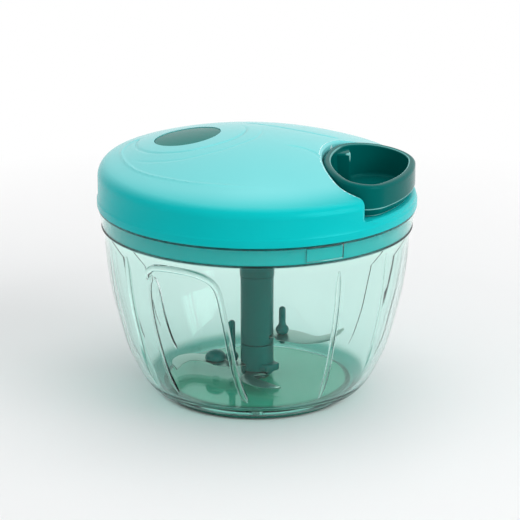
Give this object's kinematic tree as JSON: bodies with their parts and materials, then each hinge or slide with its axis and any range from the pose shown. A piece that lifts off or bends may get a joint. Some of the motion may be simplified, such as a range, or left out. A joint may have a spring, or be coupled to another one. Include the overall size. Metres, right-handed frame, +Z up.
{
  "type": "pull cord food chopper",
  "caption": "Hand food chopper: clear tapered bowl, domed lid with a pull cord handle, and curved steel blades on a column.",
  "frame": {"origin": "centre of the base pad's underside, on the blades' axis", "axes": "+Z up along the blades' axis, +X to the handle's side and -Y to the front; the cord is pulled 20 degrees from +X towards -Y"},
  "size_m": [0.12, 0.12, 0.0989],
  "materials": {
    "clear_plastic": "clear, pale green tint",
    "base_rubber": "satin",
    "teal_plastic": "gloss",
    "dark_green_plastic": "gloss",
    "blade_steel": "brushed",
    "natural_plastic": "matte",
    "cord": "braided"
  },
  "bodies": {
    "bowl": {"bowl": "clear_plastic", "base_pad": "base_rubber", "centre_pin": "blade_steel"},
    "lid": {"lid_cover": "teal_plastic", "lid_inlay": "dark_green_plastic", "lid_base": "teal_plastic", "lid_screw_1": "blade_steel", "lid_screw_2": "blade_steel", "lid_screw_3": "blade_steel", "reel_axle": "blade_steel", "reel_washer": "blade_steel", "cord_guide": "natural_plastic"},
    "reel": {"cord_reel": "natural_plastic", "spring_cap": "natural_plastic", "recoil_spring": "blade_steel", "cord_winding": "cord"},
    "output": {"clutch_rotor": "natural_plastic", "output_coupling": "dark_green_plastic"},
    "blade_unit": {"blade_column": "dark_green_plastic", "blade_hub": "dark_green_plastic", "blade_upper": "blade_steel", "blade_middle": "blade_steel", "blade_lower": "blade_steel", "stirrer_peg_right": "dark_green_plastic", "stirrer_peg_left": "dark_green_plastic", "blade_clip": "dark_green_plastic"},
    "handle": {"pull_handle": "dark_green_plastic", "pull_cord": "cord", "cord_knot": "cord"}
  },
  "joints": [
    {"name": "lid_lift", "type": "slide", "parent": "bowl", "child": "lid", "axis": [0, 0, 1], "range_m": [0, 0.1]},
    {"name": "handle_pull", "type": "slide", "parent": "lid", "child": "handle", "axis": [0.9397, -0.342, 0], "range_m": [0, 0.29], "stiffness_N_per_m": 10, "springref_m": -0.2},
    {"name": "reel_spin", "type": "hinge", "parent": "lid", "child": "reel", "pos_m": [0, 0, 0.08], "axis": [0, 0, 1], "range_deg": [-1240, 5]},
    {"name": "output_spin", "type": "hinge", "parent": "lid", "child": "output", "pos_m": [0, 0, 0.06], "axis": [0, 0, 1], "range_deg": [-1240, 5]},
    {"name": "blade_spin", "type": "hinge", "parent": "bowl", "child": "blade_unit", "pos_m": [0, 0, 0.02], "axis": [0, 0, 1], "range_deg": [-1240, 5]}
  ],
  "couplings": [
    {"joint": "reel_spin", "follows": "handle_pull", "rad_per_m": -74.074},
    {"joint": "output_spin", "follows": "handle_pull", "rad_per_m": -74.074},
    {"joint": "blade_spin", "follows": "handle_pull", "rad_per_m": -74.074}
  ]
}
